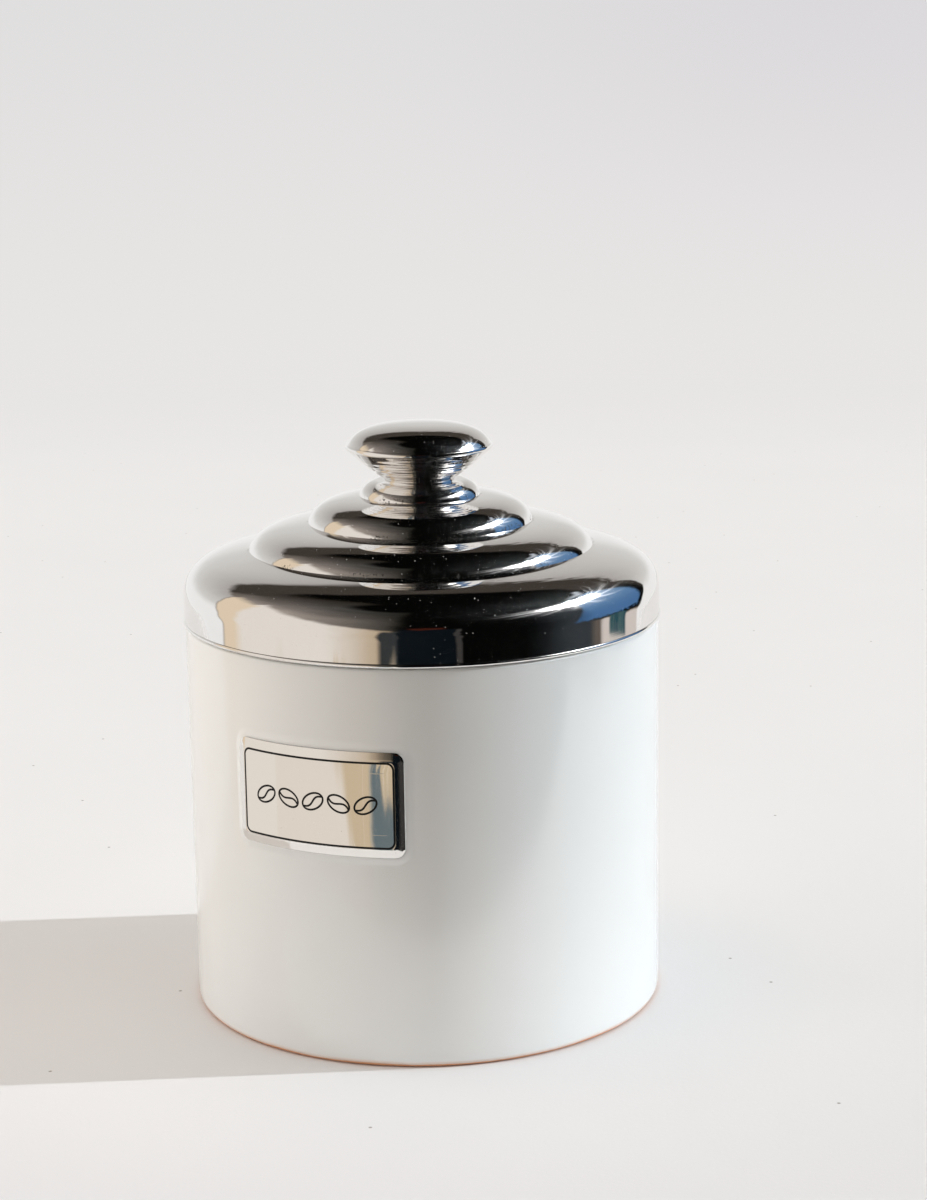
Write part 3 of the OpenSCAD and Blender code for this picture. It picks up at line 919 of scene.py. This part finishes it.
def light_for_matt(room):
    """The same room, but warmer and brighter, with some light from overhead and from the window."""
    az, el = room.az, room.el
    gain = room.mix(room.remap(az, -75, -45), (1.75, 1.66, 1.56), (0.95, 0.90, 0.85))
    gain = room.mix(room.remap(az, 98, 108), gain, (0.42, 0.41, 0.40))
    light = room.mix(1.0, room.sky, gain, "MULTIPLY")
    light = room.mix(room.remap(el, 50, 70), light, (1.76, 1.63, 1.50))
    for start, end, soft, colour in ((30, 78, 10, (0.72, 0.72, 0.72)),
                                     (-66, -32, 8, (1.15, 1.09, 1.02)),
                                     (-125, -62, 8, (1.93, 1.88, 1.82))):
        area = room.both(room.span(az, start, end, soft), room.span(el, -3, 50, 5))
        light = room.mix(area, light, colour)
    return light


def add_world():
    """A pale studio: the camera sees only the backdrop, polished surfaces the room, matt ones its light.

    The room is dark in front, with a warm wall on the left, the white sweep behind, and a window on the
    right.
    """
    world = bpy.data.worlds.new("studio")
    world.use_nodes = True
    bpy.context.scene.world = world
    room = Room(world.node_tree)
    wall_end = room.leaning(0.35)
    off_middle = room.math("SUBTRACT", room.el, 20)
    bulge = room.math("MULTIPLY_ADD", room.math("MULTIPLY", off_middle, off_middle), 0.007, room.az)
    right_edge = room.math("MULTIPLY_ADD", room.el, -0.25, bulge)
    ragged = room.uneven(room.el, 26, 4, 11)
    paint_dark_end(room)
    paint_wall(room, wall_end)
    paint_bottle(room)
    paint_low_wall(room)
    paint_window(room, bulge, ragged)
    paint_sweep(room, wall_end, right_edge, ragged)

    glow = sun_glow(room)
    glossy = room.mix(1.0, room.sky, room.vector(glow, glow, glow), "ADD")
    # Painted shade: the backdrop that the camera sees is darker above the floor's far edge, and darker
    # still to the right.
    high = room.mix(room.remap(room.x, -0.05, 0.17), (0.745, 0.735, 0.735), (0.705, 0.69, 0.71))
    backdrop = room.mix(room.remap(room.level, FLOOR_END_ELEVATION, 2), BACKDROP_LOW, high)
    path = room.node("ShaderNodeLightPath")
    seen = room.mix(path.outputs["Is Diffuse Ray"], glossy, light_for_matt(room))
    seen = room.mix(path.outputs["Is Camera Ray"], seen, backdrop)
    out = room.node("ShaderNodeOutputWorld")
    room.set(out.inputs["Surface"], room.node("ShaderNodeBackground", Color=seen, Strength=1.0))


def add_sun(name, elevation, energy, glossy):
    """Low sun through the window on the right, either for polished surfaces or for matt ones."""
    data = bpy.data.lights.new(name, "SUN")
    data.energy = energy
    data.angle = math.radians(0.8)
    data.color = (0.86, 0.94, 1.0)
    sun = bpy.data.objects.new(name, data)
    sun.visible_diffuse = not glossy
    sun.visible_glossy = glossy
    az, el = math.radians(SUN_AZIMUTH + CAMERA_AZIMUTH), math.radians(elevation)
    towards = Vector((math.sin(az) * math.cos(el), -math.cos(az) * math.cos(el), math.sin(el)))
    sun.rotation_euler = towards.to_track_quat("Z", "Y").to_euler()
    bpy.context.scene.collection.objects.link(sun)


def dress_cad_pieces():
    """The pieces that keep their CAD shape get materials of their own."""
    foam = moulded_material("foam_tape", (0.02, 0.02, 0.02), (0.05, 0.05, 0.05),
                            roughness=0.8, grain_scale=3000, grain_depth=0.05 * MM)
    plastic = moulded_material("white_plug", (0.74, 0.74, 0.72), (0.80, 0.80, 0.78),
                               roughness=0.4, grain_scale=2500, grain_depth=0.01 * MM, soft=0.2)
    silicone = moulded_material("silicone", (0.66, 0.66, 0.64), (0.72, 0.72, 0.70),
                                roughness=0.35, grain_scale=1800, grain_depth=0.01 * MM, soft=0.4)
    steel = steel_material("turned_steel")
    materials = {"label_pad": foam, "lid_plug": plastic, "seal_ring": silicone,
                 "knob_washer": steel, "lock_washer": steel, "knob_screw": steel}
    for node, material in materials.items():
        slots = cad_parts[node].data.materials
        slots.clear()
        slots.append(material)


def main():
    bpy.context.scene.view_settings.view_transform = "Standard"
    add_camera()
    add_world()
    add_sun("sun", SUN_ELEVATION, 2.65, False)
    add_sun("sun_glint", GLINT_ELEVATION, 4.0, True)
    add_floor()
    lid_tint, plate_tint = (0.88, 0.865, 0.85), (0.88, 0.86, 0.83)
    make_jar(glaze_material("white_glaze"))
    make_lid(polished_metal("polished_lid", lid_tint, creases=(SECOND_DOME_R, THIRD_DOME_R, BOSS_R)))
    make_knob(polished_metal("polished_knob", lid_tint))
    make_plate(polished_metal("polished_plate", plate_tint, turned=False, dust=0.2))
    enamel = enamel_material("black_enamel")
    make_border(enamel)
    make_beans(enamel)
    dress_cad_pieces()


main()
